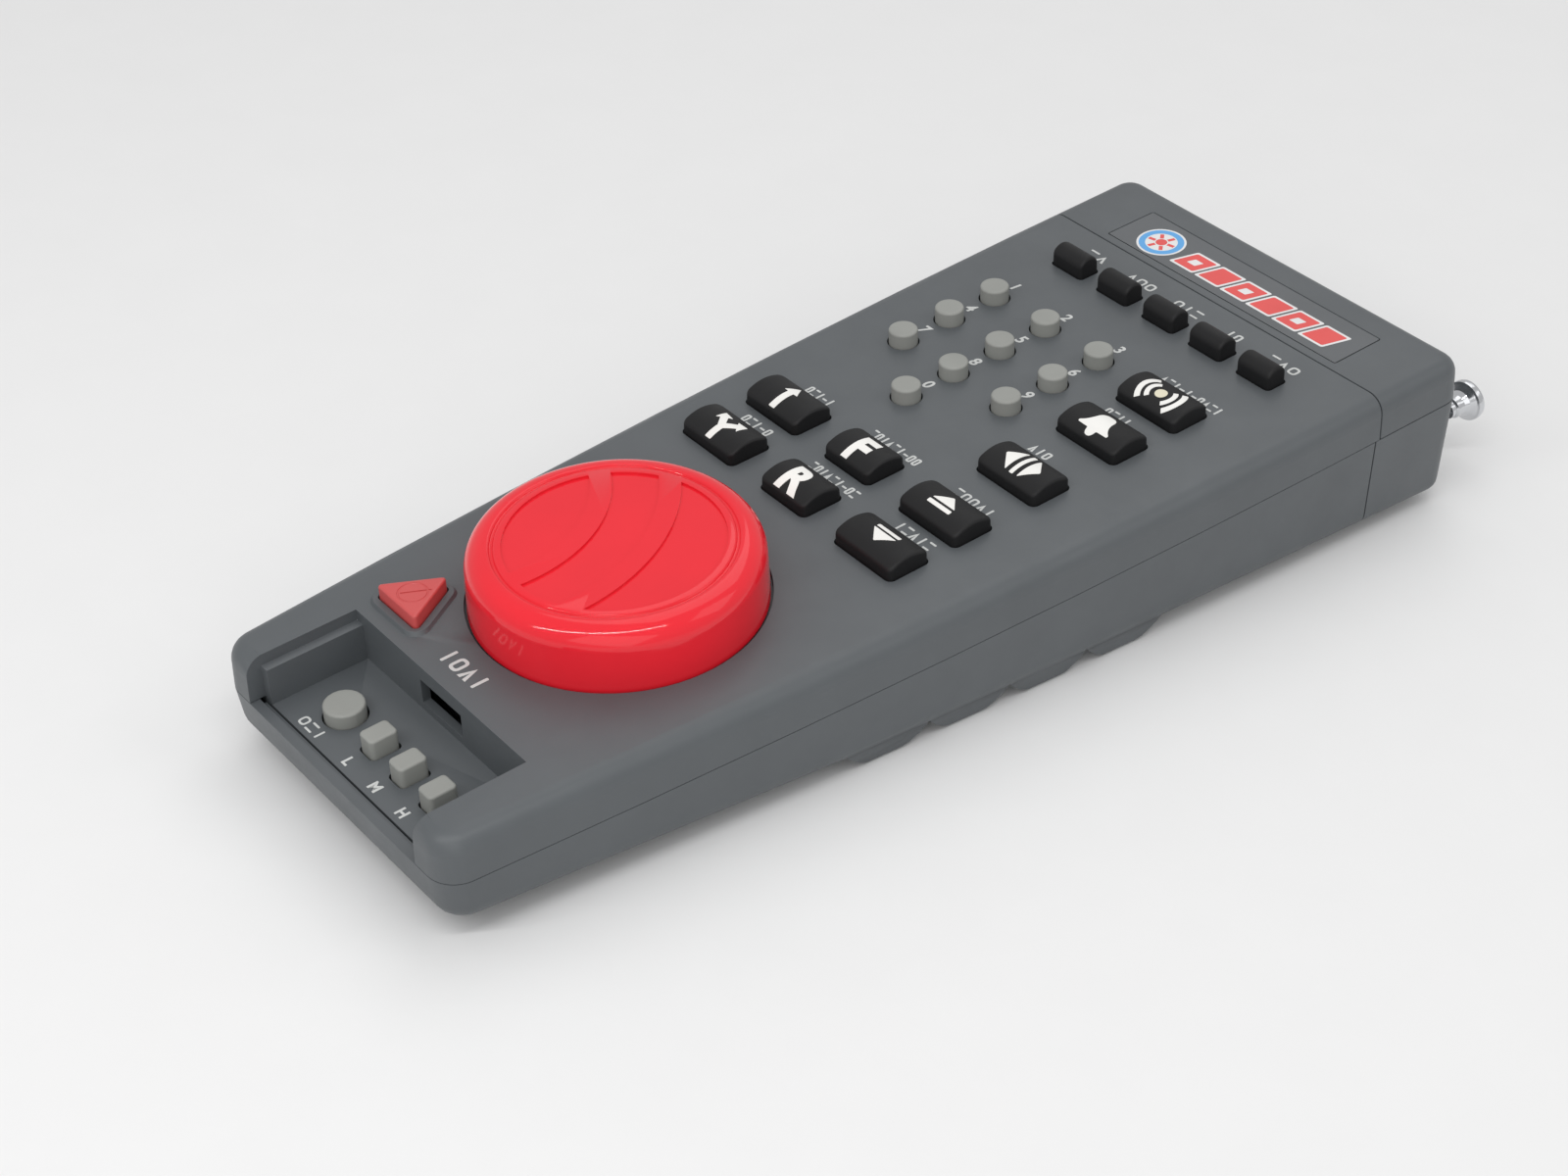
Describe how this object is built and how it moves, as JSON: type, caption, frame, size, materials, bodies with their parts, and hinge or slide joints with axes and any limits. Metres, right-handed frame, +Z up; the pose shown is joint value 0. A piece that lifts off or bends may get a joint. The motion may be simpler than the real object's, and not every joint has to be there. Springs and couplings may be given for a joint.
{
  "type": "train set controller",
  "caption": "Wedge-shaped handheld remote for a model railway, with a big red throttle knob, sprung keys, a telescopic antenna and a sliding battery door.",
  "frame": {"origin": "middle of the overall length and width, on the plane the finger lobes rest on", "axes": "+Y along the housing towards the antenna end, +X to the right when the near end faces the user, +Z up, square to the rear underside"},
  "size_m": [0.0896, 0.233, 0.0372],
  "materials": {
    "housing_plastic": "satin moulded plastic with a fine texture",
    "red_plastic": "glossy",
    "halt_red": "satin",
    "grey_key": "matte",
    "black_rubber": "satin",
    "plate_film": "satin printed film",
    "chrome": "polished",
    "steel": "satin",
    "circuit_board": "satin",
    "black_plastic": "satin",
    "cell_label": "printed sleeve",
    "lead_red": "satin"
  },
  "bodies": {
    "housing": {"top_shell": "housing_plastic", "bottom_shell": "housing_plastic", "end_cap": "housing_plastic", "name_plate": "plate_film", "encoder_body": "black_plastic", "encoder_nut": "steel", "keypad_mat": "black_rubber", "main_board": "circuit_board", "board_chips": "black_plastic", "recess_contacts": "circuit_board", "antenna_sleeve": "chrome", "antenna_clip": "steel", "battery_cells": "cell_label", "contact_springs": "steel", "contact_plates": "steel", "case_screws": "steel", "board_screws": "steel", "battery_leads": "lead_red"},
    "throttle": {"throttle_knob": "red_plastic", "encoder_shaft": "steel"},
    "battery_door": {"battery_door": "housing_plastic"},
    "antenna_section_1": {"antenna_stage_1": "chrome"},
    "antenna_section_2": {"antenna_stage_2": "chrome"},
    "antenna_section_3": {"antenna_stage_3": "chrome"},
    "antenna_section_4": {"antenna_rod": "chrome", "antenna_tip": "chrome"},
    "halt_key": {"halt_key": "halt_red"},
    "set_key": {"set_key": "grey_key"},
    "low_rate_key": {"low_rate_key": "grey_key"},
    "medium_rate_key": {"medium_rate_key": "grey_key"},
    "high_rate_key": {"high_rate_key": "grey_key"},
    "whistle_key": {"whistle_key": "black_rubber"},
    "bell_key": {"bell_key": "black_rubber"},
    "direction_key": {"direction_key": "black_rubber"},
    "boost_key": {"boost_key": "black_rubber"},
    "brake_key": {"brake_key": "black_rubber"},
    "forward_key": {"forward_key": "black_rubber"},
    "reverse_key": {"reverse_key": "black_rubber"},
    "aux_1_key": {"aux_1_key": "black_rubber"},
    "aux_2_key": {"aux_2_key": "black_rubber"},
    "number_key_0": {"number_key_0": "grey_key"},
    "number_key_1": {"number_key_1": "grey_key"},
    "number_key_2": {"number_key_2": "grey_key"},
    "number_key_3": {"number_key_3": "grey_key"},
    "number_key_4": {"number_key_4": "grey_key"},
    "number_key_5": {"number_key_5": "grey_key"},
    "number_key_6": {"number_key_6": "grey_key"},
    "number_key_7": {"number_key_7": "grey_key"},
    "number_key_8": {"number_key_8": "grey_key"},
    "number_key_9": {"number_key_9": "grey_key"},
    "mode_key_1": {"mode_key_1": "black_rubber"},
    "mode_key_2": {"mode_key_2": "black_rubber"},
    "mode_key_3": {"mode_key_3": "black_rubber"},
    "mode_key_4": {"mode_key_4": "black_rubber"},
    "mode_key_5": {"mode_key_5": "black_rubber"}
  },
  "joints": [
    {"name": "throttle_turn", "type": "hinge", "parent": "housing", "child": "throttle", "pos_m": [0, -0.05884, 0.02471], "axis": [0, -0.0483, 0.9988], "continuous": true},
    {"name": "battery_door_slide", "type": "slide", "parent": "housing", "child": "battery_door", "axis": [0, 1, 0], "range_m": [0, 0.044]},
    {"name": "antenna_pull_1", "type": "slide", "parent": "housing", "child": "antenna_section_1", "axis": [0, 0.9988, 0.0483], "range_m": [0, 0.08]},
    {"name": "antenna_pull_2", "type": "slide", "parent": "antenna_section_1", "child": "antenna_section_2", "axis": [0, 0.9988, 0.0483], "range_m": [0, 0.08]},
    {"name": "antenna_pull_3", "type": "slide", "parent": "antenna_section_2", "child": "antenna_section_3", "axis": [0, 0.9988, 0.0483], "range_m": [0, 0.08]},
    {"name": "antenna_pull_4", "type": "slide", "parent": "antenna_section_3", "child": "antenna_section_4", "axis": [0, 0.9988, 0.0483], "range_m": [0, 0.08]},
    {"name": "halt_key_press", "type": "slide", "parent": "housing", "child": "halt_key", "axis": [0, 0.0483, -0.9988], "range_m": [0, 0.0011], "stiffness_N_per_m": 900, "springref_m": -0.0003},
    {"name": "set_key_press", "type": "slide", "parent": "housing", "child": "set_key", "axis": [0, 0.0483, -0.9988], "range_m": [0, 0.0008], "stiffness_N_per_m": 900, "springref_m": -0.0003},
    {"name": "low_rate_key_press", "type": "slide", "parent": "housing", "child": "low_rate_key", "axis": [0, 0.0483, -0.9988], "range_m": [0, 0.0008], "stiffness_N_per_m": 900, "springref_m": -0.0003},
    {"name": "medium_rate_key_press", "type": "slide", "parent": "housing", "child": "medium_rate_key", "axis": [0, 0.0483, -0.9988], "range_m": [0, 0.0008], "stiffness_N_per_m": 900, "springref_m": -0.0003},
    {"name": "high_rate_key_press", "type": "slide", "parent": "housing", "child": "high_rate_key", "axis": [0, 0.0483, -0.9988], "range_m": [0, 0.0008], "stiffness_N_per_m": 900, "springref_m": -0.0003},
    {"name": "whistle_key_press", "type": "slide", "parent": "housing", "child": "whistle_key", "axis": [0, 0.0483, -0.9988], "range_m": [0, 0.0011], "stiffness_N_per_m": 900, "springref_m": -0.0003},
    {"name": "bell_key_press", "type": "slide", "parent": "housing", "child": "bell_key", "axis": [0, 0.0483, -0.9988], "range_m": [0, 0.0011], "stiffness_N_per_m": 900, "springref_m": -0.0003},
    {"name": "direction_key_press", "type": "slide", "parent": "housing", "child": "direction_key", "axis": [0, 0.0483, -0.9988], "range_m": [0, 0.0011], "stiffness_N_per_m": 900, "springref_m": -0.0003},
    {"name": "boost_key_press", "type": "slide", "parent": "housing", "child": "boost_key", "axis": [0, 0.0483, -0.9988], "range_m": [0, 0.0011], "stiffness_N_per_m": 900, "springref_m": -0.0003},
    {"name": "brake_key_press", "type": "slide", "parent": "housing", "child": "brake_key", "axis": [0, 0.0483, -0.9988], "range_m": [0, 0.0011], "stiffness_N_per_m": 900, "springref_m": -0.0003},
    {"name": "forward_key_press", "type": "slide", "parent": "housing", "child": "forward_key", "axis": [0, 0.0483, -0.9988], "range_m": [0, 0.0011], "stiffness_N_per_m": 900, "springref_m": -0.0003},
    {"name": "reverse_key_press", "type": "slide", "parent": "housing", "child": "reverse_key", "axis": [0, 0.0483, -0.9988], "range_m": [0, 0.0011], "stiffness_N_per_m": 900, "springref_m": -0.0003},
    {"name": "aux_1_key_press", "type": "slide", "parent": "housing", "child": "aux_1_key", "axis": [0, 0.0483, -0.9988], "range_m": [0, 0.0011], "stiffness_N_per_m": 900, "springref_m": -0.0003},
    {"name": "aux_2_key_press", "type": "slide", "parent": "housing", "child": "aux_2_key", "axis": [0, 0.0483, -0.9988], "range_m": [0, 0.0011], "stiffness_N_per_m": 900, "springref_m": -0.0003},
    {"name": "number_key_0_press", "type": "slide", "parent": "housing", "child": "number_key_0", "axis": [0, 0.0483, -0.9988], "range_m": [0, 0.0011], "stiffness_N_per_m": 900, "springref_m": -0.0003},
    {"name": "number_key_1_press", "type": "slide", "parent": "housing", "child": "number_key_1", "axis": [0, 0.0483, -0.9988], "range_m": [0, 0.0011], "stiffness_N_per_m": 900, "springref_m": -0.0003},
    {"name": "number_key_2_press", "type": "slide", "parent": "housing", "child": "number_key_2", "axis": [0, 0.0483, -0.9988], "range_m": [0, 0.0011], "stiffness_N_per_m": 900, "springref_m": -0.0003},
    {"name": "number_key_3_press", "type": "slide", "parent": "housing", "child": "number_key_3", "axis": [0, 0.0483, -0.9988], "range_m": [0, 0.0011], "stiffness_N_per_m": 900, "springref_m": -0.0003},
    {"name": "number_key_4_press", "type": "slide", "parent": "housing", "child": "number_key_4", "axis": [0, 0.0483, -0.9988], "range_m": [0, 0.0011], "stiffness_N_per_m": 900, "springref_m": -0.0003},
    {"name": "number_key_5_press", "type": "slide", "parent": "housing", "child": "number_key_5", "axis": [0, 0.0483, -0.9988], "range_m": [0, 0.0011], "stiffness_N_per_m": 900, "springref_m": -0.0003},
    {"name": "number_key_6_press", "type": "slide", "parent": "housing", "child": "number_key_6", "axis": [0, 0.0483, -0.9988], "range_m": [0, 0.0011], "stiffness_N_per_m": 900, "springref_m": -0.0003},
    {"name": "number_key_7_press", "type": "slide", "parent": "housing", "child": "number_key_7", "axis": [0, 0.0483, -0.9988], "range_m": [0, 0.0011], "stiffness_N_per_m": 900, "springref_m": -0.0003},
    {"name": "number_key_8_press", "type": "slide", "parent": "housing", "child": "number_key_8", "axis": [0, 0.0483, -0.9988], "range_m": [0, 0.0011], "stiffness_N_per_m": 900, "springref_m": -0.0003},
    {"name": "number_key_9_press", "type": "slide", "parent": "housing", "child": "number_key_9", "axis": [0, 0.0483, -0.9988], "range_m": [0, 0.0011], "stiffness_N_per_m": 900, "springref_m": -0.0003},
    {"name": "mode_key_1_press", "type": "slide", "parent": "housing", "child": "mode_key_1", "axis": [0, 0.0483, -0.9988], "range_m": [0, 0.0011], "stiffness_N_per_m": 900, "springref_m": -0.0003},
    {"name": "mode_key_2_press", "type": "slide", "parent": "housing", "child": "mode_key_2", "axis": [0, 0.0483, -0.9988], "range_m": [0, 0.0011], "stiffness_N_per_m": 900, "springref_m": -0.0003},
    {"name": "mode_key_3_press", "type": "slide", "parent": "housing", "child": "mode_key_3", "axis": [0, 0.0483, -0.9988], "range_m": [0, 0.0011], "stiffness_N_per_m": 900, "springref_m": -0.0003},
    {"name": "mode_key_4_press", "type": "slide", "parent": "housing", "child": "mode_key_4", "axis": [0, 0.0483, -0.9988], "range_m": [0, 0.0011], "stiffness_N_per_m": 900, "springref_m": -0.0003},
    {"name": "mode_key_5_press", "type": "slide", "parent": "housing", "child": "mode_key_5", "axis": [0, 0.0483, -0.9988], "range_m": [0, 0.0011], "stiffness_N_per_m": 900, "springref_m": -0.0003}
  ]
}
